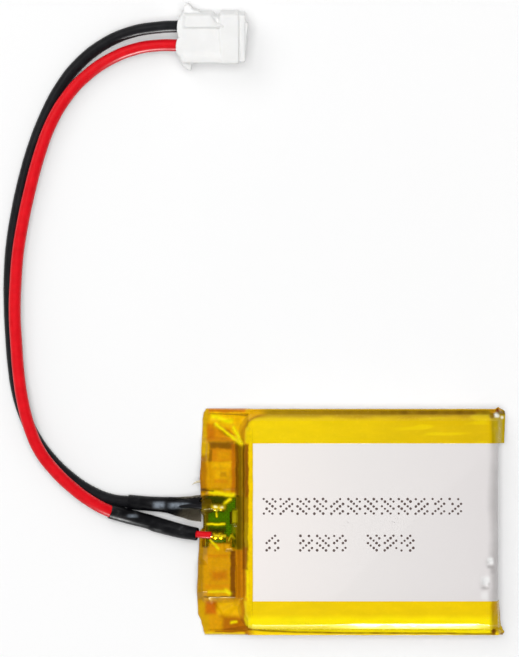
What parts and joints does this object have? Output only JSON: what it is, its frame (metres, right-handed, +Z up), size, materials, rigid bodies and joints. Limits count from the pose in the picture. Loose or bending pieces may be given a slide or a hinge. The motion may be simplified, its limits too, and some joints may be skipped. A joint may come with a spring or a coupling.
{
  "type": "lithium polymer battery pack",
  "caption": "Flat pouch battery pack with a taped protection board at one end and two sleeved leads that loop round to a white crimp plug.",
  "frame": {"origin": "on the surface the pack lies on, under the middle of the pack without its leads and plug", "axes": "+X along the pack from the board end to the plain end, +Y across the pack towards the side the plug lies on, +Z up out of the drawn face"},
  "size_m": [0.0643, 0.0806, 0.0066],
  "materials": {
    "pouch_foil": "satin",
    "seal_film": "matte",
    "graphite": "matte",
    "cathode": "matte",
    "separator_film": "matte",
    "green_tape": "gloss",
    "tab_aluminium": "satin",
    "nickel": "satin",
    "insulation_paper": "matte",
    "board_green": "gloss",
    "pad_gold": "satin",
    "chip_black": "matte",
    "capacitor_tan": "satin",
    "solder": "gloss",
    "yellow_tape": "gloss",
    "amber_tape": "gloss",
    "black_insulation": "satin",
    "red_insulation": "satin",
    "copper": "satin",
    "sleeve_black": "satin",
    "plug_nylon": "satin",
    "contact_tin": "satin"
  },
  "bodies": {
    "root": {"pouch_cup": "pouch_foil", "pouch_back": "pouch_foil", "top_seal": "seal_film", "anode_sheet": "graphite", "cathode_sheet": "cathode", "inner_separator": "separator_film", "outer_separator": "separator_film", "winding_end_tape": "green_tape", "positive_tab": "tab_aluminium", "negative_tab": "nickel", "positive_tab_seal": "seal_film", "negative_tab_seal": "seal_film", "insulation_sheet": "insulation_paper", "circuit_board": "board_green", "lead_pads": "pad_gold", "positive_weld_plate": "nickel", "negative_weld_plate": "nickel", "protection_chip": "chip_black", "switch_chip": "chip_black", "sense_resistor": "chip_black", "filter_capacitor": "capacitor_tan", "bias_resistors": "chip_black", "black_solder": "solder", "red_solder": "solder", "upper_edge_tape": "yellow_tape", "lower_edge_tape": "yellow_tape", "head_tape": "amber_tape", "black_short_lead": "black_insulation", "black_short_strands": "copper", "red_short_lead": "red_insulation", "red_short_strands": "copper", "black_splice": "solder", "red_splice": "solder", "black_sleeve": "sleeve_black", "red_sleeve": "sleeve_black", "black_lead": "black_insulation", "black_strands": "copper", "red_lead": "red_insulation", "red_strands": "copper", "plug_housing": "plug_nylon", "black_contact": "contact_tin", "red_contact": "contact_tin"}
  },
  "joints": []
}
